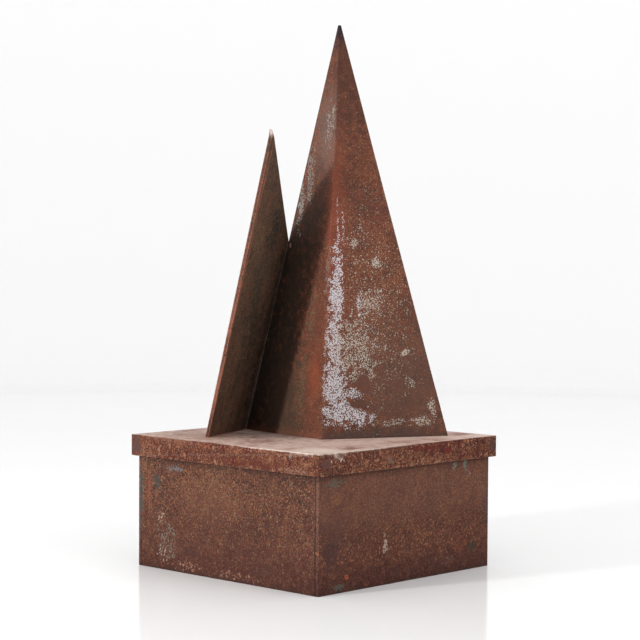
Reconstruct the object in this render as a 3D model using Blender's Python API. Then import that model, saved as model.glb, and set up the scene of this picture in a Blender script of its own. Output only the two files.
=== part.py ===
"""Abstract sculpture of weathered steel plate: a box plinth under a lid-like cap, with a tall,
three-sided pyramid on it and a fin whose face meets the pyramid's left edge.

Metres, +Z up. The plinth stands square to X and Y, and the origin is the middle of its underside.
Its front is -Y and its left is -X.
"""

import bmesh
import bpy
from math import cos, radians, sin, sqrt
from mathutils import Vector

GAP = 0.0003                    # free space between plates that touch

PLINTH_HEIGHT = 0.1625          # floor to the cap's top face
CAP_SIDE = 0.320                # square cap, outside
CAP_DEPTH = 0.0258              # how far the cap's rim hangs down
CAP_PLATE = 0.0048
LID_CLEARANCE = 0.0019          # between the cap's rim and the box
BOX_PLATE = 0.0048

PYRAMID_CORNER = (-0.0368, -0.0481)     # the front corner's place, from the cap's middle
PYRAMID_LEFT_SIDE = 0.1586
PYRAMID_LEFT_TURN = radians(81.4)       # the left side's heading, from +X towards +Y
PYRAMID_RIGHT_SIDE = 0.1670
PYRAMID_RIGHT_TURN = radians(-26.0)
PYRAMID_HEIGHT = 0.5146                 # to where the edges would meet in a sharp point
PYRAMID_LEAN = (-0.0011, 0.0011)        # the point's shift from over the middle of the base
PYRAMID_PLATE = 0.0048
TIP_GROUND_OFF = 0.0100                 # taken off the sharp point

FIN_FOOT = 0.1130               # from the pyramid's left corner to the fin's outer corner
FIN_TURN = radians(202.2)       # the foot's heading from the pyramid's left corner
FIN_TIP_REACH = 0.1256          # the fin's point, out from the pyramid's left edge
FIN_TIP_RISE = 0.3820           # the fin's point, along the pyramid's left edge
FIN_JOIN_RISE = 0.2480          # where the fin's top edge meets the pyramid's left edge
FIN_LAP = 0.0120                # how far the fin runs on behind that edge, for its weld
FIN_PLATE = 0.0048

BOX_SIDE = CAP_SIDE - 2 * (CAP_PLATE + LID_CLEARANCE)
BOX_WALL_HEIGHT = PLINTH_HEIGHT - CAP_PLATE - GAP
UP = Vector((0, 0, 1))
CAP_TOP = PLINTH_HEIGHT * UP

# sRGB colour of the rust, roughness and metallic value of each part
FINISHES = {
    "box": ((0.44, 0.31, 0.26), 0.85, 0.15),
    "cap": ((0.47, 0.29, 0.24), 0.80, 0.15),
    "pyramid": ((0.42, 0.28, 0.24), 0.82, 0.15),
    "fin": ((0.26, 0.19, 0.16), 0.78, 0.20),
}


def clear_scene():
    for obj in list(bpy.data.objects):
        bpy.data.objects.remove(obj, do_unlink=True)


def to_linear(channel):
    return channel / 12.92 if channel <= 0.04045 else ((channel + 0.055) / 1.055) ** 2.4


def rusted_steel(name, finish):
    """The rust-covered steel of one plate."""
    colour, roughness, metallic = FINISHES[finish]
    material = bpy.data.materials.new(name)
    material.use_nodes = True
    shader = material.node_tree.nodes["Principled BSDF"]
    shader.inputs["Base Color"].default_value = [to_linear(c) for c in colour] + [1]
    shader.inputs["Roughness"].default_value = roughness
    shader.inputs["Metallic"].default_value = metallic
    return material


def add_plate(name, cuts, finish):
    """A plate sawn from a block, one plane cut at a time. Each cut is a point on the plane and
    the direction of the material that falls away."""
    block = bmesh.new()
    bmesh.ops.create_cube(block, size=4 * (PLINTH_HEIGHT + PYRAMID_HEIGHT + CAP_SIDE))
    for point, away in cuts:
        parts = block.verts[:] + block.edges[:] + block.faces[:]
        found = bmesh.ops.bisect_plane(
            block, geom=parts, plane_co=point, plane_no=away, clear_outer=True, dist=1e-7
        )
        rim = [part for part in found["geom_cut"] if isinstance(part, bmesh.types.BMEdge)]
        bmesh.ops.edgeloop_fill(block, edges=rim)
    bmesh.ops.recalc_face_normals(block, faces=block.faces[:])
    mesh = bpy.data.meshes.new(name)
    block.to_mesh(mesh)
    block.free()
    plate = bpy.data.objects.new(name, mesh)
    bpy.context.scene.collection.objects.link(plate)
    mesh.materials.append(rusted_steel(name, finish))
    return plate


def box_cuts(low, high):
    """The six cuts of a plate that is square to the axes, between two opposite corners."""
    sides = [Vector(row) for row in ((1, 0, 0), (0, 1, 0), (0, 0, 1))]
    return [(low, -side) for side in sides] + [(high, side) for side in sides]


def turned(cuts, quarter_turns):
    """The same cuts, turned about the plinth's middle by a number of right angles."""
    c, s = ((1, 0), (0, 1), (-1, 0), (0, -1))[quarter_turns % 4]

    def turn(v):
        v = Vector(v)
        return Vector((c * v.x - s * v.y, s * v.x + c * v.y, v.z))

    return [(turn(point), turn(away)) for point, away in cuts]


def add_box():
    """Four walls, open below. The front and back walls run the full width, and the left and
    right walls stand between them, so that their joints show on the left and right sides."""
    half = BOX_SIDE / 2
    inner = half - BOX_PLATE
    long_wall = box_cuts((-half, -half, 0), (half, -inner, BOX_WALL_HEIGHT))
    short_wall = box_cuts((-inner + GAP, -half, 0), (inner - GAP, -inner, BOX_WALL_HEIGHT))
    add_plate("box_front_wall", long_wall, "box")
    add_plate("box_right_wall", turned(short_wall, 1), "box")
    add_plate("box_back_wall", turned(long_wall, 2), "box")
    add_plate("box_left_wall", turned(short_wall, 3), "box")


def add_cap():
    """A lid: a square top plate let in between four rim strips with mitred corners."""
    half = CAP_SIDE / 2
    inner = half - CAP_PLATE
    top_half = inner - GAP
    add_plate("cap_top", box_cuts((-top_half, -top_half, PLINTH_HEIGHT - CAP_PLATE),
                                  (top_half, top_half, PLINTH_HEIGHT)), "cap")
    strip = box_cuts((-half, -half, PLINTH_HEIGHT - CAP_DEPTH), (half, -inner, PLINTH_HEIGHT))
    mitre_x = half - GAP / sqrt(2)
    strip += [((-mitre_x, -half, 0), Vector((-1, 1, 0))), ((mitre_x, -half, 0), Vector((1, 1, 0)))]
    for quarter_turns, side in enumerate(("front", "right", "back", "left")):
        add_plate(f"cap_{side}_rim", turned(strip, quarter_turns), "cap")


def heading(turn):
    """The level direction at this angle from +X towards +Y."""
    return Vector((cos(turn), sin(turn), 0))


def pyramid_points():
    """The base's front, right and left corners on the cap, and the sharp point over them."""
    front = CAP_TOP + Vector((*PYRAMID_CORNER, 0))
    right = front + PYRAMID_RIGHT_SIDE * heading(PYRAMID_RIGHT_TURN)
    left = front + PYRAMID_LEFT_SIDE * heading(PYRAMID_LEFT_TURN)
    point = (front + right + left) / 3 + Vector((*PYRAMID_LEAN, PYRAMID_HEIGHT))
    return front, right, left, point


def add_pyramid():
    """Three faces of plate, mitred along the edges and hollow inside."""
    *corners, point = pyramid_points()
    outward = []
    for i in range(3):
        start, end = corners[i], corners[(i + 1) % 3]
        outward.append((end - start).cross(point - start).normalized())
    for i, side in enumerate(("right", "back", "left")):
        following = (i + 1) % 3
        cuts = [
            (corners[i], outward[i]),
            (corners[i] - PYRAMID_PLATE * outward[i], -outward[i]),
            (CAP_TOP + GAP * UP, -UP),
            (point - TIP_GROUND_OFF * UP, UP),
        ]
        for corner, neighbour in ((i, i - 1), (following, following)):
            mitre = (outward[neighbour] - outward[i]).normalized()
            cuts.append((corners[corner] - GAP / 2 * mitre, mitre))
        add_plate(f"pyramid_{side}_face", cuts, "pyramid")


def add_fin():
    """A four-sided plate. Its right-hand face lies along the pyramid's left edge, and its top
    edge slopes down from the point to where it meets that edge."""
    left, point = pyramid_points()[2:]
    out = heading(FIN_TURN)
    along = (point - left).normalized()
    behind = out.cross(along).normalized()
    face = left + GAP * behind
    corner = left + FIN_FOOT * out
    tip = left + FIN_TIP_REACH * out + FIN_TIP_RISE * along
    join = left + FIN_JOIN_RISE * along
    cuts = [
        (face, -behind),
        (face + FIN_PLATE * behind, behind),
        (CAP_TOP + GAP * UP, -UP),
        (corner, (tip - corner).cross(behind)),
        (tip, (join - tip).cross(behind)),
        (left - FIN_LAP * out, behind.cross(along)),
    ]
    add_plate("fin", cuts, "fin")


clear_scene()
add_box()
add_cap()
add_pyramid()
add_fin()
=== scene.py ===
# %% [markdown]
# # A sculpture of rusted steel plate
# A square box of steel plate carries a lid-like cap. On it stand a tall pyramid with three
# sides and a thin fin that leans against the pyramid's left edge. Everything is mild steel
# that has rusted for years. The lesson loads the construction model as a fixed frame, sets up
# the camera and the studio, makes the rust as a material, and then dresses each plate.

# %% Load the frame
from functools import partial
from math import ceil, cos, pi, radians, sin, sqrt

import bmesh
import bpy
from mathutils import Matrix, Vector, noise
from mathutils.geometry import delaunay_2d_cdt


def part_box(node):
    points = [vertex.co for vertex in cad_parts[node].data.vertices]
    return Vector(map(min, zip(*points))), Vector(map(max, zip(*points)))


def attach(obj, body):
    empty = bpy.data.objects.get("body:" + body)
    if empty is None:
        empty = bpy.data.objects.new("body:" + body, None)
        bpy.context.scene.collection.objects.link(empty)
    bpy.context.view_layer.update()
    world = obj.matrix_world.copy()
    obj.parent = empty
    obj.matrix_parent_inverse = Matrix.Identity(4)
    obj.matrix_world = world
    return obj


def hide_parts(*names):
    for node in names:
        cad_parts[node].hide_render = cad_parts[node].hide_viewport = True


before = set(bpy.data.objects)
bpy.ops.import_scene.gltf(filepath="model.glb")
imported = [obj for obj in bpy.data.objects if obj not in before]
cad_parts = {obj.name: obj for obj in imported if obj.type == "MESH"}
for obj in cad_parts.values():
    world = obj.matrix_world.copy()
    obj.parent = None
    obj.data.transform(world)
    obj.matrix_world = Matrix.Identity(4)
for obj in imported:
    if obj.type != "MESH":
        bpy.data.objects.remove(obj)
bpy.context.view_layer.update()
MM = 0.001
UP = Vector((0, 0, 1))

# %% [markdown]
# ## The camera
# The picture was taken with a long lens from a little above the cap, so the plinth's upright
# lines stay nearly parallel. A camera can be aimed with a constraint, or by three angles. The
# angles are used here, because a hand-held picture is also rolled by a fraction of a degree.

# %% Place the camera
CAMERA_PLACE = Vector((-1.6869, -1.6059, 0.3911))
CAMERA_YAW = radians(-46.557)           # from +Y towards -X
CAMERA_PITCH = radians(-2.118)
CAMERA_ROLL = radians(-0.365)
SENSOR_MM = 36
LENS_MM = 106.01

camera_data = bpy.data.cameras.new("camera")
camera_data.sensor_width = SENSOR_MM
camera_data.lens = LENS_MM
camera = bpy.data.objects.new("camera", camera_data)
aim = Matrix.Rotation(CAMERA_YAW, 4, "Z") @ Matrix.Rotation(CAMERA_PITCH, 4, "X")
level = Matrix.Rotation(CAMERA_ROLL, 4, "Y") @ Matrix.Rotation(radians(90), 4, "X")
camera.matrix_world = Matrix.Translation(CAMERA_PLACE) @ aim @ level
bpy.context.scene.collection.objects.link(camera)
bpy.context.scene.camera = camera
print("the camera stands", round(CAMERA_PLACE.length, 2), "m from the plinth's foot")

# %% [markdown]
# ## Colours and nodes
# Every colour below is an sRGB hex value, as a paint program shows it. Blender's shaders want
# linear light, so one function turns each value. A second function adds any node, sets it and
# feeds its sockets, and gives back one output, so that materials read like a recipe.

# %% One function for colours, one for nodes
MIXED_COLOUR = 2                        # which output of a Mix node is the colour
ATTRIBUTE_VALUE = 2                     # which output of an Attribute node is the plain number


def tone(hex_value):
    """The linear RGBA of an sRGB value such as "#7a4b3a"."""
    channels = [int(hex_value[i:i + 2], 16) / 255 for i in (1, 3, 5)]
    return [c / 12.92 if c <= 0.04045 else ((c + 0.055) / 1.055) ** 2.4 for c in channels] + [1]


def add(tree, kind, feed=None, give=0, ramp=None, **settings):
    """Adds a node, sets it, feeds its sockets with values or outputs, and returns an output."""
    node = tree.nodes.new("ShaderNode" + kind)
    for name, value in settings.items():
        setattr(node, name, value)
    for stop, (position, hex_value) in enumerate(ramp or ()):
        stops = node.color_ramp.elements
        element = stops[stop] if stop < len(stops) else stops.new(position)
        element.position = position
        element.color = tone(hex_value)
    for key, value in (feed or {}).items():
        named = [s for s in node.inputs if key in (s.identifier, s.name)]
        socket = node.inputs[key] if isinstance(key, int) else named[0]
        if isinstance(value, bpy.types.NodeSocket):
            tree.links.new(value, socket)
        else:
            socket.default_value = value
    return node.outputs[give]


print("a warm rust brown in linear light:", [round(c, 3) for c in tone("#71504a")[:3]])

# %% [markdown]
# ## The studio
# The floor is white, smooth and slightly glossy, and it bends up into the background. A flat
# strip of paper would show its end from the side, so the sweep is turned right round the
# object: a dish whose rim is far away. It is a profile turned by Blender's spin operator.

# %% Turn the sweep
SWEEP_FLAT = 2.9                        # radius of the level floor
SWEEP_CURVE = 1.5                       # radius of the bend
SWEEP_RISE = 0.4                        # upright part over the bend
SWEEP_STEPS = 24
SWEEP_SECTORS = 96


def shiny_white_laminate():
    """White laminate: a bright, even ground whose thin clear face mirrors weakly."""
    material = bpy.data.materials.new("shiny_white_laminate")
    material.use_nodes = True
    tree = material.node_tree
    shader = tree.nodes["Principled BSDF"]
    place = add(tree, "TexCoord", give="Object")
    cloud = add(tree, "TexNoise", {"Vector": place, "Scale": 2.5, "Detail": 2})
    rough = add(tree, "MapRange", {0: cloud, 3: 0.10, 4: 0.16})
    tree.links.new(rough, shader.inputs["Roughness"])
    shader.inputs["Base Color"].default_value = tone("#f6f6f6")
    shader.inputs["IOR"].default_value = 1.45
    shader.inputs["Specular IOR Level"].default_value = 0.2
    return material


sweep_mesh = bpy.data.meshes.new("sweep")
turning = bmesh.new()
profile = [turning.verts.new((0, 0, 0)), turning.verts.new((SWEEP_FLAT, 0, 0))]
for step in range(1, SWEEP_STEPS + 1):
    bend = pi / 2 * step / SWEEP_STEPS
    out = SWEEP_FLAT + SWEEP_CURVE * sin(bend)
    profile.append(turning.verts.new((out, 0, SWEEP_CURVE * (1 - cos(bend)))))
profile.append(turning.verts.new((SWEEP_FLAT + SWEEP_CURVE, 0, SWEEP_CURVE + SWEEP_RISE)))
line = [turning.edges.new(pair) for pair in zip(profile, profile[1:])]
bmesh.ops.spin(turning, geom=profile + line, axis=UP, cent=(0, 0, 0), angle=2 * pi,
               steps=SWEEP_SECTORS, use_merge=True)
bmesh.ops.remove_doubles(turning, verts=turning.verts[:], dist=MM)
bmesh.ops.recalc_face_normals(turning, faces=turning.faces[:])
turning.to_mesh(sweep_mesh)
turning.free()
sweep_mesh.shade_smooth()
sweep = bpy.data.objects.new("sweep", sweep_mesh)
sweep_mesh.materials.append(shiny_white_laminate())
bpy.context.scene.collection.objects.link(sweep)
print("the sweep has", len(sweep_mesh.polygons), "faces")

# %% [markdown]
# ## The light
# A small softbox stands to the left, hardly higher than the pyramid's point: its light rakes
# the left-hand faces, throws the fin's shadow on the pyramid, and hardly marks the floor. A
# wide one lifts the front side, and the white room fills the rest. A sun lamp could rake as
# well, but its shadow would have too hard an edge. All the light is plain white, so the colour
# comes from the rust alone.

# %% Hang the softboxes and light the room
KEY_TURN = radians(168)                 # where it stands, from +X towards +Y
KEY_RISE = radians(8)
KEY_DISTANCE = 2.4
KEY_SIDE = 0.22
KEY_WATTS = 45
FILL_WATTS = 70
FILL_PLACE = Vector((0.6, -4.0, 1.9))
FILL_SIDE = 2.4
ROOM_BRIGHTNESS = 0.905
AIMED_AT = Vector((0, 0, 0.35))


def softbox(name, place, side, watts):
    """A square area light that faces the object."""
    lamp = bpy.data.lights.new(name, "AREA")
    lamp.size = side
    lamp.energy = watts
    box = bpy.data.objects.new(name, lamp)
    box.location = place
    box.rotation_euler = (AIMED_AT - place).to_track_quat("-Z", "Y").to_euler()
    box.visible_camera = False
    bpy.context.scene.collection.objects.link(box)


towards_key = Vector((cos(KEY_RISE) * cos(KEY_TURN), cos(KEY_RISE) * sin(KEY_TURN), sin(KEY_RISE)))
softbox("key_softbox", AIMED_AT + KEY_DISTANCE * towards_key, KEY_SIDE, KEY_WATTS)
softbox("fill_softbox", FILL_PLACE, FILL_SIDE, FILL_WATTS)
room = bpy.data.worlds.new("white_room")
room.use_nodes = True
room.node_tree.nodes["Background"].inputs["Color"].default_value = tone("#ffffff")
room.node_tree.nodes["Background"].inputs["Strength"].default_value = ROOM_BRIGHTNESS
bpy.context.scene.world = room
bpy.context.scene.view_settings.view_transform = "Standard"
print("the key stands", [round(c, 2) for c in AIMED_AT + KEY_DISTANCE * towards_key])

# %% [markdown]
# ## Rust
# Mild steel left outdoors grows a crust of red-brown oxide. Seen from two metres it is a grain
# of dark pits and orange flecks, a few millimetres across, over clouds of browner and redder
# tone the size of a hand. It could be painted as an image, but then its scale would be lost;
# layers of noise, each with its own size in millimetres, keep it.

# %% Sizes in the rust
CLOUD_MM = 42
PATCH_MM = 8
GRAIN_MM = 1.9                          # real grains are finer, and would not show from here
GRAIN_RELIEF = 0.5 * MM
GRAIN_RANGE = (0.28, 0.72)              # nearly all values of a noise lie between these
CRUST_ROUGHNESS = (0.72, 0.88)          # of the smooth spots and of the pits
CRUST_SPECULAR = 0.25                   # loose oxide scatters what a clean face would mirror
LEVEL_FROM = (0.7, 0.9)                 # a film lies where the normal looks up this far
SPECKS_IN_FILM = 0.15                   # what a film leaves to be seen of the specks
RAGGEDNESS = 0.45                       # how far a mark's edge wanders, in shares of its reach
print("the rust has clouds of", CLOUD_MM, "mm, patches of", PATCH_MM, "mm, grains of", GRAIN_MM, "mm")

# %% [markdown]
# ## What lies on the rust
# Streaks, specks and marks are made alike: each is a colour, and a share from 0 to 1 that says
# how far it covers what is below. Streaks and specks are noise that is cut off at a level. A
# mark has a place, and its share falls with the distance from there. A soft stain is left like
# that. Old paint and chips add a fine noise before a second cut, and break up into speckles. A
# painted mask could do the same, but its marks could not be placed in millimetres.

# %% Helpers for streaks, specks and marks
SPECK_START = Vector((0, 13, 0))        # where each set of specks looks up its noise, in mm,
SPECK_SHIFT = Vector((71, 0, 37))       # so that no two sets fall on the same spots
MARK_END = 1.1                          # a mark fades out at this share of its reach,
MARK_CORE = 0.35                        # and has its whole cover within this one
CHIP_CUT = (0.87, 0.95)


def place_on_face(node, mm, axes):
    """Where a point lies on a face, in mm across, out and up from its corner."""
    origin, directions = axes
    from_corner = node("VectorMath", {0: mm, 1: origin / MM}, operation="SUBTRACT")
    parts = [node("VectorMath", {0: from_corner, 1: d}, give="Value", operation="DOT_PRODUCT")
             for d in directions]
    return node("CombineXYZ", dict(enumerate(parts)))


def streak_share(node, mm, width, length, bare, soft, axes):
    """Noise drawn out into runs up and down a face."""
    run = node("VectorMath", {0: place_on_face(node, mm, axes),
                              1: (1 / width, 1 / width, 1 / length)}, operation="MULTIPLY")
    run = node("TexNoise", {"Vector": run, "Scale": 1, "Detail": 3})
    return node("MapRange", {0: run, 1: bare, 2: bare + soft})


def speck_share(node, mm, seed, size, bare, soft):
    """Noise of one size, of which only the peaks are left."""
    shifted = node("VectorMath", {0: mm, 1: SPECK_START + seed * SPECK_SHIFT}, operation="ADD")
    speck = node("TexNoise", {"Vector": shifted, "Scale": 1 / size, "Detail": 2})
    return node("MapRange", {0: speck, 1: bare, 2: bare + soft}, interpolation_type="SMOOTHSTEP")


def mark_share(node, spot, ragged, chips, centre, reach, cover):
    """Most at the centre and nothing past the reach, and with chips broken up into speckles."""
    away = node("VectorMath", {0: spot, 1: centre}, operation="SUBTRACT")
    away = node("VectorMath", {0: away, 1: reach}, operation="DIVIDE")
    away = node("VectorMath", {0: away}, give="Value", operation="LENGTH")
    away = node("Math", {0: away, 1: ragged}, operation="ADD")
    near = node("MapRange", {0: away, 1: MARK_END, 2: MARK_CORE, 3: 0, 4: cover})
    if chips is None:
        return near
    near = node("Math", {0: near, 1: chips}, operation="ADD")
    return node("MapRange", {0: near, 1: CHIP_CUT[0], 2: CHIP_CUT[1]})


print("a mark fades out at", MARK_END, "of its reach")

# %% [markdown]
# ## The recipe
# The layers are laid in order: clouds, grain, worn edges, streaks, specks, and the listed marks
# come last. One function serves every plate, and each plate gives it its own colours
# and marks. Four separate materials would drift apart with every change.

# %% The recipe for rusted mild steel
def rusted_mild_steel(name, clouds, specks, streaks=(), marked_faces=(), grit=1.0, film=None,
                      rubbed=("#7d5c50", 0.6, 0.40)):
    """Crusted oxide: matt and grainy, so the eye reads it by its speckle and not by shine.
    clouds is a colour ramp. specks are (colour, size in mm, share left bare, softness).
    streaks are (colour, width and length in mm, share left bare, softness, axes). Marks are
    placed on a face by its corner and axes: (place, reach, colour, cover), all in mm. A face's
    marks break up into speckles of one size in mm, or with none they are soft stains.
    grit is the grain's contrast. film is the paler skin of what lies level: (colour ramp,
    roughness). rubbed is the colour of bare edges, its cover, and how much grain keeps."""
    material = bpy.data.materials.new(name)
    material.use_nodes = True
    tree = material.node_tree
    node = partial(add, tree)
    shader = tree.nodes["Principled BSDF"]
    place = node("TexCoord", give="Object")
    mm = node("VectorMath", {0: place, "Scale": 1 / MM}, operation="SCALE")
    broad, medium, grain = [
        node("TexNoise", {"Vector": mm, "Scale": 1 / size, "Detail": detail, "Roughness": 0.6})
        for size, detail in ((CLOUD_MM, 3), (PATCH_MM, 3), (GRAIN_MM, 2))]
    blend = node("Mix", {"Factor_Float": 0.45, "A_Float": broad, "B_Float": medium},
                 data_type="FLOAT")
    base = node("ValToRGB", {0: blend}, ramp=clouds)
    light = node("MapRange", {0: grain, 1: GRAIN_RANGE[0], 2: GRAIN_RANGE[1],
                              3: 1 - 0.65 * grit, 4: 1 + 0.6 * grit})
    rough = node("MapRange", {0: grain, 1: 0.3, 2: 0.7,
                              3: CRUST_ROUGHNESS[0], 4: CRUST_ROUGHNESS[1]})
    if film:
        level = node("NewGeometry", give="Normal")
        level = node("SeparateXYZ", {0: level}, give="Z")
        level = node("MapRange", {0: level, 1: LEVEL_FROM[0], 2: LEVEL_FROM[1]})
        upright = node("MapRange", {0: level, 3: 1.0, 4: SPECKS_IN_FILM})
        # on level faces: dust, and a painted sheen that lightens them
        dust_and_sheen = node("ValToRGB", {0: blend}, ramp=film[0])
        base = node("Mix", {"Factor_Float": level, "A_Color": base, "B_Color": dust_and_sheen},
                    give=MIXED_COLOUR, data_type="RGBA")
        light = node("Mix", {"Factor_Float": level, "A_Float": light, "B_Float": 1.0},
                     data_type="FLOAT")
        rough = node("Mix", {"Factor_Float": level, "A_Float": rough, "B_Float": film[1]},
                     data_type="FLOAT")
    base = node("VectorMath", {0: base, "Scale": light}, operation="SCALE")
    worn = node("Attribute", give=ATTRIBUTE_VALUE, attribute_name="edge")
    worn = node("Math", {0: worn, 1: grain}, operation="MULTIPLY")
    worn = node("MapRange", {0: worn, 1: rubbed[2], 2: rubbed[2] + 0.2, 4: rubbed[1]})
    layers = [(rubbed[0], worn)]
    for colour, *run in streaks:
        layers.append((colour, streak_share(node, mm, *run)))
    for seed, (colour, *kind) in enumerate(specks):
        share = speck_share(node, mm, seed, *kind)
        if film:
            share = node("Math", {0: share, 1: upright}, operation="MULTIPLY")
        layers.append((colour, share))
    ragged = node("MapRange", {0: medium, 1: 0.25, 2: 0.75, 3: -RAGGEDNESS, 4: RAGGEDNESS})
    for axes, speckle, marks in marked_faces:
        spot = place_on_face(node, mm, axes)
        chips = None
        if speckle:
            chips = node("TexNoise", {"Vector": mm, "Scale": 1 / speckle, "Detail": 2})
        for centre, reach, colour, cover in marks:
            layers.append((colour, mark_share(node, spot, ragged, chips, centre, reach, cover)))
    for colour, share in layers:
        base = node("Mix", {"Factor_Float": share, "A_Color": base, "B_Color": tone(colour)},
                    give=MIXED_COLOUR, data_type="RGBA")
    relief = node("Mix", {"Factor_Float": 0.7, "A_Float": medium, "B_Float": grain},
                  data_type="FLOAT")
    normal = node("Bump", {"Height": relief, "Strength": 0.7, "Distance": GRAIN_RELIEF})
    tree.links.new(base, shader.inputs["Base Color"])
    tree.links.new(rough, shader.inputs["Roughness"])
    tree.links.new(normal, shader.inputs["Normal"])
    shader.inputs["Specular IOR Level"].default_value = CRUST_SPECULAR
    print(name, "has", len(layers), "layers over its clouds")
    return material

# %% [markdown]
# ## Solids from the frame
# Each piece starts from the frame's own plates, so it stays in place and true to size. Plates
# that are ground flush become one solid: the convex solid round all their corner points. A
# boolean union could join them too, but the frame leaves a slit between welded plates, and the
# union would keep it.

# %% Take solids from the frame
SEAM = 0.6 * MM                         # a little over the slit between two plates


def outside_of(*nodes):
    """The convex solid round these nodes, which closes the slits between them."""
    solid = bmesh.new()
    for name in nodes:
        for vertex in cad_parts[name].data.vertices:
            solid.verts.new(vertex.co)
    bmesh.ops.remove_doubles(solid, verts=solid.verts[:], dist=SEAM)
    bmesh.ops.convex_hull(solid, input=solid.verts[:])
    loose = [vertex for vertex in solid.verts if not vertex.link_faces]
    bmesh.ops.delete(solid, geom=loose, context="VERTS")
    bmesh.ops.dissolve_limit(solid, angle_limit=radians(0.5), verts=solid.verts[:],
                             edges=solid.edges[:], use_dissolve_boundaries=False)
    bmesh.ops.recalc_face_normals(solid, faces=solid.faces[:])
    return solid


def underside_of(solid):
    """The faces that look straight down."""
    return [face for face in solid.faces if face.normal.z < -0.9]


print("points nearer than", SEAM / MM, "mm are taken as one")

# %% [markdown]
# ## Even triangles for flat plate
# Sawn plate is flat, but its crust is not, so a flat needs points all over it that can be moved.
# Blender's grid fill wants four sides and a voxel remesh would soften the long straight edges.
# So a grid of even triangles is laid over each flat and trimmed to its outline.

# %% Fill a flat with small triangles
MESH_STEP = 1.6 * MM
HIDDEN_STEP = 12 * MM
OFF_OUTLINE = 0.55                      # share of a step between the outline and the grid


def fill_flat(corners, normal, step):
    """Points inside a flat outline, on a grid of even triangles, and the triangles."""
    across = (corners[1] - corners[0]).normalized()
    along = normal.cross(across)
    flat = [Vector(((c - corners[0]).dot(across), (c - corners[0]).dot(along))) for c in corners]
    low = [min(p[i] for p in flat) for i in (0, 1)]
    high = [max(p[i] for p in flat) for i in (0, 1)]
    sides = [(a, (b - a).normalized()) for a, b in zip(flat, flat[1:] + flat[:1]) if (b - a).length]
    sides = [(a, Vector((-d.y, d.x))) for i, (a, d) in enumerate(sides)
             if i == 0 or (d - sides[i - 1][1]).length > 1e-3]
    inner = []
    row_step = step * sqrt(3) / 2
    for row in range(1, ceil((high[1] - low[1]) / row_step)):
        shift = step / 2 if row % 2 else 0
        for column in range(ceil((high[0] - low[0]) / step) + 1):
            spot = Vector((low[0] + shift + column * step, low[1] + row * row_step))
            if all((spot - a).dot(inward) > OFF_OUTLINE * step for a, inward in sides):
                inner.append(spot)
    outline = list(range(len(flat)))
    _, _, faces, source, _, _ = delaunay_2d_cdt(flat + inner, [], [outline], 1, 1e-9)
    added = [corners[0] + p.x * across + p.y * along for p in inner]
    return added, [[source[i][0] for i in face] for face in faces]


print("weathered flats get a point every", MESH_STEP / MM, "mm")

# %% [markdown]
# ## Warp, crust and lumps
# Welding pulls plate out of true by a fraction of a millimetre, and rust adds a fine crust. Both
# are real relief here: the points are moved by noise. Three spots are moved by more: a small
# weld, a burr and the pyramid's drawn-out point. A displacement modifier could move them too,
# but the noise is easier to read in one loop.

# %% Move the points
CRUST_SIZE = 4.0 * MM
CRUST_DEPTH = 0.10 * MM
WARP_SIZE = 120 * MM
WARP_DEPTH = 0.25 * MM
LUMPS = (                                # place, radius and push, all in mm
    ((6, 51, 399), 6, (-1.2, -1.6, 0.5)),       # weld where the fin meets the pyramid
    ((-107, -30, 532), 8, (-3.4, -1.2, 0.6)),   # burr beside the fin's point
    ((20, -19, 667), 5, (0, 0, 1.2)),           # the pyramid's point, drawn up by its welds
)


def crust_over(mesh):
    """Moves the points in and out: a slow warp of the plate, the fine crust on it, and lumps."""
    spots = [vertex.co.copy() for vertex in mesh.vertices]
    normals = [normal.vector.copy() for normal in mesh.vertex_normals]
    moved = []
    for spot, normal in zip(spots, normals):
        warp = noise.noise(spot / WARP_SIZE) * WARP_DEPTH
        crust = noise.fractal(spot / CRUST_SIZE, 0.8, 2.0, 2) * CRUST_DEPTH
        spot_moved = spot + (warp + crust) * normal
        for place, radius, push in LUMPS:
            nearness = max(0, 1 - (spot / MM - Vector(place)).length / radius)
            spot_moved += nearness * MM * Vector(push)
        moved += list(spot_moved)
    mesh.vertices.foreach_set("co", moved)
    mesh.update()


print("the crust is", CRUST_DEPTH / MM, "mm deep and the warp", WARP_DEPTH / MM, "mm")

# %% [markdown]
# ## Skins
# A skin is the visible piece. The solid's edges are rounded with a bevel, because sawn edges are
# never sharp, then every flat is filled and its points are moved. Each point also notes whether
# it lies on a rounded edge, where the recipe rubs the rust thin.

# %% Make a skin from a solid
EDGE_ROUND = 0.6 * MM


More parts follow.
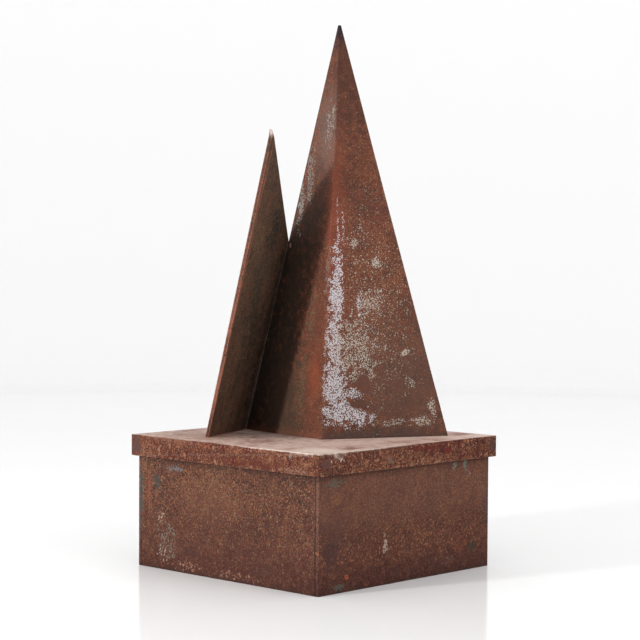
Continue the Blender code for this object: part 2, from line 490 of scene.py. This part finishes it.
def skin(name, solid, material, fine, rounding=EDGE_ROUND):
    """Rounds the solid's edges, fills each flat with small triangles where fine(face) says so,
    and notes on every point whether it lies on a rounded edge."""
    bmesh.ops.bevel(solid, geom=solid.edges[:], offset=rounding, segments=2, profile=0.5,
                    affect="EDGES", clamp_overlap=True)
    solid.normal_update()
    solid.verts.index_update()
    points = [v.co.copy() for v in solid.verts]
    close = [1.0] * len(points)
    split = {}
    for edge in solid.edges:
        a, b = edge.verts
        step = MESH_STEP if any(fine(face) for face in edge.link_faces) else HIDDEN_STEP
        count = max(1, round(edge.calc_length() / step))
        split[edge] = (a.index, list(range(len(points), len(points) + count - 1)))
        points += [a.co.lerp(b.co, i / count) for i in range(1, count)]
        close += [1.0] * (count - 1)
    triangles = []
    for face in solid.faces:
        loop = []
        for corner in face.loops:
            first, between = split[corner.edge]
            loop.append(corner.vert.index)
            loop += between if corner.vert.index == first else between[::-1]
        wide = face.calc_area() > (4 * MESH_STEP) ** 2
        step = MESH_STEP if fine(face) and wide else HIDDEN_STEP
        added, filled = fill_flat([points[i] for i in loop], face.normal, step)
        start = len(points)
        points += added
        close += [0.0] * len(added)
        ids = loop + list(range(start, start + len(added)))
        triangles += [[ids[i] for i in triangle] for triangle in filled]
    solid.free()
    mesh = bpy.data.meshes.new(name)
    mesh.from_pydata(points, [], triangles)
    mesh.attributes.new("edge", "FLOAT", "POINT").data.foreach_set("value", close)
    mesh.shade_smooth()
    crust_over(mesh)
    mesh.materials.append(material)
    piece = bpy.data.objects.new(name, mesh)
    bpy.context.scene.collection.objects.link(piece)
    print(name, "has", len(mesh.polygons), "triangles")
    return piece

# %% [markdown]
# ## The box's rust
# The box stands nearest to the ground, so it is redder and darker towards its foot, with a band
# of painted shade under the cap and a few pale and grey chips by its edges. The stains and the
# painted shade go all round, the chips only on the two sides that can be seen.

# %% Mix the box's rust
BOX_CLOUDS = ((0.30, "#352018"), (0.42, "#4c2a1d"), (0.54, "#5a3423"), (0.68, "#60402d"))
BOX_SPECKS = (
    ("#431f16", 18, 0.55, 0.18),        # redder and browner clouds
    ("#62432d", 13, 0.60, 0.18),
    ("#1c0e08", 1.8, 0.55, 0.07),       # pits
    ("#84543a", 1.9, 0.62, 0.07),       # fresh orange flecks
    ("#857257", 1.8, 0.64, 0.06),       # dust
)
WORLD_AXES = (Vector((0, 0, 0)), (Vector((1, 0, 0)), Vector((0, 1, 0)), Vector((0, 0, 1))))
LEFT_X, FRONT_Y = -153, -153            # the two sides that the picture shows, in mm
EVERYWHERE = 900                        # a reach past the whole box
BOX_STAINS_AND_SHADE = (
    # all round: redder and darker towards the floor, painted shade under the cap, the corner's seam
    ((0, 0, 0), (EVERYWHERE, EVERYWHERE, 85), "#401c14", 0.55),
    ((0, 0, -4), (EVERYWHERE, EVERYWHERE, 12), "#1c100c", 0.60),
    # painted shade: a dark band just under the cap's overhang
    ((0, 0, 142), (EVERYWHERE, EVERYWHERE, 14), "#24140e", 0.60),
    ((LEFT_X, -148.4, 68), (4, 1.9, EVERYWHERE), "#140b08", 0.65),
    ((-128, FRONT_Y, 70), (30, 9, 60), "#3a2220", 0.45),
    ((LEFT_X, 20, 90), (9, 60, 30), "#66402e", 0.30),
    ((0, FRONT_Y, 108), (EVERYWHERE, 9, 44), "#70483a", 0.26),
)
BOX_MARKS = (
    ((0, 0, 0), (EVERYWHERE, EVERYWHERE, 60), "#260f0a", 0.35),
    ((0, FRONT_Y, 20), (EVERYWHERE, 9, 90), "#7f4c35", 0.31),
    ((0, FRONT_Y, 10), (EVERYWHERE, 9, 34), "#34140c", 0.36),
    ((LEFT_X, 0, 12), (9, EVERYWHERE, 34), "#3a160d", 0.36),
    # left side: under the cap, down the far edge, along the foot
    ((LEFT_X, 90, 125), (9, 26, 7), "#5a5453", 0.42),
    ((LEFT_X, 120, 106), (9, 9, 18), "#38342f", 0.48),
    ((LEFT_X, 133, 92), (9, 7, 34), "#6a3b28", 0.48),
    ((LEFT_X, 148, 84), (9, 5, 60), "#453f38", 0.53),
    ((LEFT_X, 112, 64), (9, 14, 20), "#86705f", 0.33),
    ((LEFT_X, 100, 34), (9, 32, 40), "#63584e", 0.37),
    ((LEFT_X, 108, 20), (9, 16, 18), "#8a7a6c", 0.32),
    ((LEFT_X, 60, 26), (9, 40, 14), "#3c201a", 0.44),
    ((LEFT_X, -60, 20), (9, 60, 16), "#3c201a", 0.40),
    ((LEFT_X, 66, 9), (9, 50, 12), "#86604f", 0.35),
    ((LEFT_X, -20, 7), (9, 70, 9), "#86604f", 0.32),
    ((LEFT_X, -140, 60), (9, 8, 70), "#5c3628", 0.26),
    # front side: greyer by the corner, an orange cloud, pale knocks, drips under the cap
    ((-128, FRONT_Y, 126), (22, 9, 8), "#4b463c", 0.46),
    ((-126, FRONT_Y, 106), (16, 9, 18), "#6b4328", 0.40),
    ((-134, FRONT_Y, 48), (18, 9, 40), "#3a221f", 0.40),
    ((-39, FRONT_Y, 47), (7, 9, 14), "#8d7a6c", 0.55),
    ((-41, FRONT_Y, 60), (4, 9, 8), "#7d6255", 0.44),
    ((88, FRONT_Y, 130), (8, 9, 6), "#5c6258", 0.44),
    ((107, FRONT_Y, 128), (7, 9, 12), "#586056", 0.44),
    ((116, FRONT_Y, 120), (4, 9, 5), "#7b7480", 0.44),
    ((84, FRONT_Y, 112), (5, 9, 9), "#86776b", 0.31),
    ((98, FRONT_Y, 32), (20, 9, 20), "#6e3720", 0.37),
    ((122, FRONT_Y, 28), (16, 9, 16), "#2c2a1f", 0.42),
    ((40, FRONT_Y, 24), (44, 9, 14), "#3b1d16", 0.40),
    ((74, FRONT_Y, 16), (22, 9, 10), "#5f4a42", 0.35),
    ((-106, FRONT_Y, 17), (6, 9, 6), "#8c4425", 0.44),
    ((-120, FRONT_Y, 7), (22, 9, 7), "#45423a", 0.44),
    ((148, FRONT_Y, 80), (4, 9, 60), "#473a34", 0.44),
)
BOX_STREAKS = (("#41281f", 7, 60, 0.60, 0.16, WORLD_AXES),)
# hot-rolled sheet rusted outdoors: a dry, coarse grain that the eye reads as rough to touch
box_steel = rusted_mild_steel("rusted_mild_steel_box", BOX_CLOUDS, BOX_SPECKS, BOX_STREAKS,
                              ((WORLD_AXES, None, BOX_STAINS_AND_SHADE), (WORLD_AXES, 2.8, BOX_MARKS)),
                              grit=1.25)

# %% [markdown]
# ## The box
# Four walls of plate, welded at the corners from inside. The front wall runs past the left
# wall, so its sawn end shows as a bright strip beside a dark seam at the front corner.

# %% Dress the box walls
def looks_out(outward, face):
    """True of the face on a wall's weathered side."""
    return face.normal.dot(outward) > 0.5


for side, outward in (("front", (0, -1, 0)), ("back", (0, 1, 0)),
                      ("left", (-1, 0, 0)), ("right", (1, 0, 0))):
    node_name = f"box_{side}_wall"
    weathered = partial(looks_out, Vector(outward))
    wall = skin(f"{node_name}_rusted", outside_of(node_name), box_steel, weathered)
    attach(wall, "root")
    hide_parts(node_name)

# %% [markdown]
# ## The cap's rust
# The rims are rusted like the box. The level top has a smooth, pale film instead: partly dust
# and washed oxide, partly painted sheen that lightens the top, with brown stains in it. It could
# be a second material, but then the change would fall on one line; the recipe's film follows
# the way that the surface faces.

# %% Mix the cap's rust
CAP_CLOUDS = ((0.32, "#33160d"), (0.43, "#4d2515"), (0.54, "#5d331f"), (0.66, "#69422d"))
CAP_SPECKS = (
    ("#45150b", 11, 0.53, 0.12),
    ("#7f5842", 9, 0.58, 0.12),
    ("#26100a", 2.0, 0.56, 0.08),
    ("#9c6750", 1.9, 0.60, 0.08),
)
# the level top's pale film: partly dust and washed oxide, partly painted sheen that lightens the top
TOP_DUST_AND_PAINTED_SHEEN = (((0.34, "#95695a"), (0.43, "#b5958a"), (0.54, "#c9b0a3"), (0.68, "#bb9a8a")), 0.65)
CAP_MARKS = (
    ((-160, 150, 150), (9, 16, 18), "#4b302a", 0.62),
    ((-160, 25, 158), (9, 40, 7), "#7a3f2e", 0.35),
    ((154, -160, 150), (12, 9, 18), "#452b25", 0.55),
    ((-148, -160, 150), (12, 9, 12), "#4f3129", 0.62),
    ((30, -160, 157), (70, 9, 5), "#50190e", 0.52),
    ((66, -160, 152), (12, 9, 8), "#571a0f", 0.50),
    ((-40, -160, 146), (14, 9, 7), "#5f4c40", 0.45),
    ((-90, -160, 144), (26, 9, 8), "#5a4438", 0.35),
    ((-140, -160, 152), (4, 9, 4), "#b59d92", 0.35),
    ((-122, -160, 153), (8, 9, 5), "#b59d92", 0.35),
    ((-160, -60, 144), (9, 80, 8), "#4d1d12", 0.42),
    ((-160, -120, 141), (9, 40, 7), "#6f5244", 0.40),
    ((-160, -60, 160), (9, 90, 5), "#7b5040", 0.38),
)
TOP_STAINS_AND_PAINTED_LIGHT = (
    # painted highlights on the lit upper edges, then brown stains in the pale film, and painted sheen
    # by the front corner
    ((-160, -100, 162.5), (5, 90, 1.6), "#c9b6aa", 0.85),
    ((-100, -160, 162.5), (90, 5, 1.6), "#c9b6aa", 0.75),
    ((-104, -14, 162), (34, 22, 9), "#84584a", 0.60),
    ((-110, 80, 162), (60, 80, 9), "#8c6553", 0.62),
    ((-86, -139, 162), (24, 12, 9), "#774a3c", 0.80),
    ((10, -130, 162), (50, 14, 9), "#9a7566", 0.60),
    ((139, -123, 162), (24, 12, 9), "#7d5345", 0.70),
    ((-50, 30, 162), (60, 60, 9), "#6e5c55", 0.60),
    # partly dust, partly painted sheen: the pale patch by the front corner
    ((-130, -130, 162), (34, 34, 9), "#dccbc0", 0.60),
)
# the same sheet under a dull film of dust and painted sheen: grainy on the rims, chalky and soft to
# the eye on top
cap_steel = rusted_mild_steel("rusted_mild_steel_cap", CAP_CLOUDS, CAP_SPECKS, (),
                              ((WORLD_AXES, 3.0, CAP_MARKS), (WORLD_AXES, None, TOP_STAINS_AND_PAINTED_LIGHT)),
                              grit=1.3, film=TOP_DUST_AND_PAINTED_SHEEN)

# %% [markdown]
# ## The cap
# A top plate let in between four rim strips, all ground flush, so it reads as one lid. It is
# made as a block and hollowed from below: the underside is inset by the plate's thickness, and
# the inner part is pushed up to the top plate.

# %% Dress the cap
CAP_NODES = ("cap_top", "cap_front_rim", "cap_right_rim", "cap_back_rim", "cap_left_rim")
cap_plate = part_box("cap_top")[1].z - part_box("cap_top")[0].z
cap_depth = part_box("cap_front_rim")[1].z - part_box("cap_front_rim")[0].z


def cap_solid():
    """The block round the five plates, with its underside pushed up to the top plate."""
    solid = outside_of(*CAP_NODES)
    under = underside_of(solid)
    bmesh.ops.inset_region(solid, faces=under, thickness=cap_plate, use_even_offset=True)
    lifted = bmesh.ops.extrude_discrete_faces(solid, faces=under)["faces"][0]
    bmesh.ops.translate(solid, vec=(cap_depth - cap_plate) * UP, verts=lifted.verts)
    return solid


def cap_outside(face):
    """True of the top and of the rims' outer sides."""
    middle = face.calc_center_median()
    rim_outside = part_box("cap_front_rim")[1].x - cap_plate / 4
    return face.normal.z > 0.5 or max(abs(middle.x), abs(middle.y)) > rim_outside


cap = skin("cap_rusted", cap_solid(), cap_steel, cap_outside)
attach(cap, "root")
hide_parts(*CAP_NODES)

# %% [markdown]
# ## Places on a leaning face
# Marks on the pyramid are measured on its own faces, in millimetres across from the front edge
# and up from the foot. World coordinates would do, but each mark would need three numbers that
# nobody can picture. The faces' axes come from the frame's own corners.

# %% Find the pyramid's faces
PYRAMID_NODES = ("pyramid_left_face", "pyramid_right_face", "pyramid_back_face")


def corner_of(nodes, towards):
    """The point of these nodes that lies farthest that way."""
    points = [vertex.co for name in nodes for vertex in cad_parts[name].data.vertices]
    return max(points, key=lambda point: point.dot(Vector(towards)))


def face_axes(corner, across, above):
    """A face's corner, with the directions across it, out of it and up it."""
    across = (across - corner).normalized()
    out = across.cross(above - corner).normalized()
    return corner, (across, out, out.cross(across))


front_corner = corner_of(PYRAMID_NODES, (-1, -0.6, -1))
right_corner = corner_of(PYRAMID_NODES, (1, -1, -1))
left_corner = corner_of(PYRAMID_NODES, (-0.3, 1, -1))
peak = corner_of(PYRAMID_NODES, (-0.1, -0.06, 1))
RIGHT_FACE = face_axes(front_corner, right_corner, peak)
LEFT_FACE = face_axes(front_corner, left_corner, peak)
print("the pyramid's front edge runs from", [round(c / MM) for c in front_corner],
      "to", [round(c / MM) for c in peak])

# %% [markdown]
# ## The pyramid's rust
# The pyramid once had a white coat. What is left of it is a column of speckles beside the front
# edge and a haze of grey ones, thinner towards the right. The left face carries painted shade in
# the lee of the fin, which deepens the fin's cast shadow, and both faces are burnt dark at the point.

# %% Mix the pyramid's rust
PYRAMID_CLOUDS = ((0.30, "#3f2a20"), (0.43, "#532e21"), (0.55, "#613624"), (0.70, "#6a4330"))
OLD_PAINT = "#aba8ab"
GREY_PAINT = "#9d9388"
RIGHT_STAINS = (
    # dark at the point, redder along the edge, grey-brown towards the foot
    ((16, 0, 280), (26, 9, 200), "#7e3a26", 0.45),
    ((40, 0, 470), (110, 9, 120), "#3a2016", 0.62),
    ((40, 0, 512), (40, 9, 30), "#20141a", 0.85),
    ((110, 0, 60), (90, 9, 110), "#4a382f", 0.50),
    ((60, 0, 0), (130, 9, 14), "#3d302b", 0.80),
)
RIGHT_MARKS = (
    ((70, 0, 160), (100, 9, 230), "#a3947f", 0.27),
    # what is left of a white coat: thin twin runs above, a dense column below
    ((28, 0, 258), (3.0, 9, 50), OLD_PAINT, 0.38),
    ((35, 0, 254), (2.8, 9, 54), OLD_PAINT, 0.37),
    ((27, 0, 210), (12, 9, 50), OLD_PAINT, 0.42),
    ((25, 0, 186), (15, 9, 34), OLD_PAINT, 0.44),
    ((23, 0, 165), (16, 9, 56), OLD_PAINT, 0.44),
    ((19, 0, 112), (24, 9, 66), OLD_PAINT, 0.44),
    ((18, 0, 66), (28, 9, 60), OLD_PAINT, 0.44),
    ((22, 0, 34), (40, 9, 30), OLD_PAINT, 0.45),
    ((46, 0, 26), (32, 9, 17), OLD_PAINT, 0.44),
    ((36, 0, 54), (36, 9, 16), OLD_PAINT, 0.39),
    ((44, 0, 110), (58, 9, 70), GREY_PAINT, 0.38),
    ((70, 0, 166), (36, 9, 28), GREY_PAINT, 0.37),
    ((52, 0, 164), (4, 9, 26), OLD_PAINT, 0.44),
    ((76, 0, 215), (10, 9, 12), GREY_PAINT, 0.47),
    ((62, 0, 212), (26, 9, 12), GREY_PAINT, 0.27),
    ((49, 0, 238), (10, 9, 12), GREY_PAINT, 0.40),
    ((60, 0, 252), (20, 9, 12), GREY_PAINT, 0.31),
    ((112, 0, 104), (12, 9, 8), GREY_PAINT, 0.43),
    ((66, 0, 78), (9, 9, 16), GREY_PAINT, 0.40),
    ((118, 0, 66), (14, 9, 14), GREY_PAINT, 0.34),
    ((146, 0, 34), (9, 9, 22), GREY_PAINT, 0.41),
    ((130, 0, 18), (24, 9, 10), GREY_PAINT, 0.41),
    ((92, 0, 18), (40, 9, 9), GREY_PAINT, 0.34),
    # bare lenses inside it
    ((46, 0, 42), (15, 9, 7), "#4d3226", 0.60),
    ((56, 0, 66), (12, 9, 16), "#55342a", 0.55),
)
LEFT_STAINS_AND_SHADE = (
    ((38, 0, 512), (40, 3, 34), "#20141a", 0.85),
    ((40, 0, 376), (30, 3, 66), "#5f5049", 0.50),
    ((30, 0, 100), (24, 3, 100), "#5e301f", 0.45),
    ((26, 0, 74), (14, 3, 34), "#8a3c1e", 0.30),
    # painted shade in the lee of the fin, up to the edge that it stands against: it deepens the fin's
    # cast shadow
    ((100, 0, 30), (56, 3, 230), "#2c231b", 0.85),
    ((84, 0, 200), (34, 3, 130), "#2c231b", 0.80),
    ((54, 0, 260), (26, 3, 90), "#2c231b", 0.70),
    # painted shade along the edge behind the fin, which darkens its rounding
    ((150, 0, 0), (30, 3, 90), "#241b15", 0.90),
    ((134, 0, 84), (30, 3, 90), "#241b15", 0.90),
    ((118, 0, 164), (24, 3, 70), "#241b15", 0.90),
    ((106, 0, 215), (14, 3, 40), "#241b15", 0.90),
    ((30, 0, 0), (200, 3, 8), "#6b3a2a", 0.50),
    ((62, 0, 30), (34, 3, 70), "#43301f", 0.45),
)
LEFT_MARKS = (
    ((68, 0, 322), (15, 4, 60), "#6d645d", 0.41),
    ((82, 0, 282), (10, 4, 50), "#756d66", 0.43),
    ((36, 0, 385), (20, 4, 50), "#7f736b", 0.36),
    ((40, 0, 150), (14, 4, 60), "#574836", 0.37),
    ((50, 0, 60), (16, 4, 70), "#544634", 0.37),
    ((18, 0, 200), (8, 4, 60), "#6b6156", 0.38),
    # painted highlight: the light caught by the small weld beside the fin
    ((98, 0, 236), (3, 4, 4), "#8f6a5f", 0.70),
)
PYRAMID_SPECKS = (
    ("#4c2a20", 15, 0.55, 0.14),
    ("#7a4a35", 1.9, 0.60, 0.07),
    ("#33190f", 1.8, 0.60, 0.07),
    ("#8f8069", 1.8, 0.66, 0.06),
)
# smoother sheet with traces of paint: a finer grain, broken by pale, dry speckles
pyramid_marks = ((RIGHT_FACE, None, RIGHT_STAINS), (RIGHT_FACE, 1.6, RIGHT_MARKS),
                 (LEFT_FACE, None, LEFT_STAINS_AND_SHADE), (LEFT_FACE, 2.3, LEFT_MARKS))
pyramid_steel = rusted_mild_steel("rusted_mild_steel_pyramid", PYRAMID_CLOUDS, PYRAMID_SPECKS,
                                  marked_faces=pyramid_marks, grit=0.75)

# %% [markdown]
# ## The pyramid
# Three faces of plate, welded along their edges and ground smooth, so no seam shows. One convex
# skin is stretched round all three. It is hollowed from below: the underside is inset by the
# plate's thickness, and a point in its middle is pushed up to where the plates' inner sides
# meet.

# %% Dress the pyramid
PYRAMID_ROUND = 0.3 * MM                # these edges are crisper than the box's
PYRAMID_PLATE = 4.8 * MM
pyramid_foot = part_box("pyramid_left_face")[0].z


def hollow_top():
    """The point where the inner sides of the three plates meet, a little under the peak."""
    tops = []
    for name in PYRAMID_NODES:
        points = [vertex.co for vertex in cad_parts[name].data.vertices]
        inner = [point for point in points if point.z < peak.z - MM]
        tops.append(max(inner, key=lambda point: point.z))
    return sum(tops, Vector()) / len(tops)


def pyramid_solid():
    """The outside of the three faces, hollowed by a point pushed up from the underside."""
    solid = outside_of(*PYRAMID_NODES)
    under = underside_of(solid)
    bmesh.ops.inset_region(solid, faces=under, thickness=PYRAMID_PLATE, use_even_offset=True)
    pushed = bmesh.ops.poke(solid, faces=under)["verts"][0]
    pushed.co = hollow_top()
    return solid


def pyramid_outside(face):
    """True of the three weathered faces: they look up a little, or end over the foot."""
    return face.normal.z > 0.01 and face.calc_center_median().z > pyramid_foot + MM


print("the hollow ends at", [round(c / MM, 1) for c in hollow_top()], "mm")
pyramid = skin("pyramid_rusted", pyramid_solid(), pyramid_steel, pyramid_outside, PYRAMID_ROUND)
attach(pyramid, "root")
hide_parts(*PYRAMID_NODES)

# %% [markdown]
# ## The fin's rust
# The fin is darker and browner than the rest, with black streaks down its middle, and its edges
# are rubbed red by hands and rain. The streaks could run straight down, but they follow the
# plate's own lean, so they are measured on its face, as the pyramid's marks are.

# %% Mix the fin's rust
FIN_CLOUDS = ((0.30, "#31221a"), (0.44, "#433024"), (0.56, "#4e3829"), (0.70, "#58402f"))
FIN_SPECKS = (
    ("#1c100a", 1.8, 0.57, 0.07),
    ("#70492f", 1.9, 0.62, 0.07),
)
fin_tip = corner_of(("fin",), (0, 0, 1))
fin_corner = corner_of(("fin",), (-1, 0, -1))
FIN_FACE = face_axes(fin_corner, left_corner, fin_tip)
FIN_STREAKS = (
    ("#2a281d", 9, 40, 0.52, 0.20, FIN_FACE),
    ("#5a3528", 7, 34, 0.56, 0.20, FIN_FACE),
)
FIN_MARKS = (
    ((54, 0, 262), (30, 9, 60), "#1f1f17", 0.44),
    ((44, 0, 170), (30, 9, 80), "#2a2a1e", 0.40),
    ((60, 0, 120), (50, 9, 90), "#2a211b", 0.38),
    ((100, 0, 130), (16, 9, 200), "#281b15", 0.42),
    ((16, 0, 8), (100, 9, 12), "#532a1f", 0.42),
)
FIN_EDGE = (
    ((-3, 0, 60), (3, 9, 90), "#855040", 0.75),
    ((-7, 0, 190), (3, 9, 100), "#855040", 0.75),
    ((-11, 0, 310), (3, 9, 100), "#855040", 0.75),
)
FIN_POINT_MARKS = (
    # painted highlight: the light caught by the small weld at the pyramid
    ((6, 51, 399), (3.5, 3.5, 3.5), "#8f6a5f", 0.75),
    # the burr: partly bare metal, partly a painted highlight where it catches the light
    ((-107, -30, 530), (7, 7, 8), "#c4b0a8", 0.85),
)
# thinly rusted mill scale: dark, with streaks that draw the eye along the plate
fin_steel = rusted_mild_steel("rusted_mild_steel_fin", FIN_CLOUDS, FIN_SPECKS, FIN_STREAKS,
                              ((FIN_FACE, 2.4, FIN_MARKS), (FIN_FACE, None, FIN_EDGE),
                               (WORLD_AXES, None, FIN_POINT_MARKS)),
                              rubbed=("#8f5545", 0.85, 0.22))

# %% [markdown]
# ## The fin
# One thin plate with four sides. The frame keeps a slit between the fin and the pyramid for the
# weld, and light would shine through it, so the fin is moved by less than half a millimetre. A
# bead of weld could close it as well, but the real joint shows none.

# %% Dress the fin
FIN_NEARER = 0.45 * MM
SMALLEST_FLAT = 1e-4                    # the plate's two sides are larger, its edges smaller
fin_solid = outside_of("fin")
bmesh.ops.translate(fin_solid, vec=FIN_NEARER * FIN_FACE[1][1], verts=fin_solid.verts[:])
fin = skin("fin_rusted", fin_solid, fin_steel, lambda face: face.calc_area() > SMALLEST_FLAT)
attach(fin, "root")
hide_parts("fin")
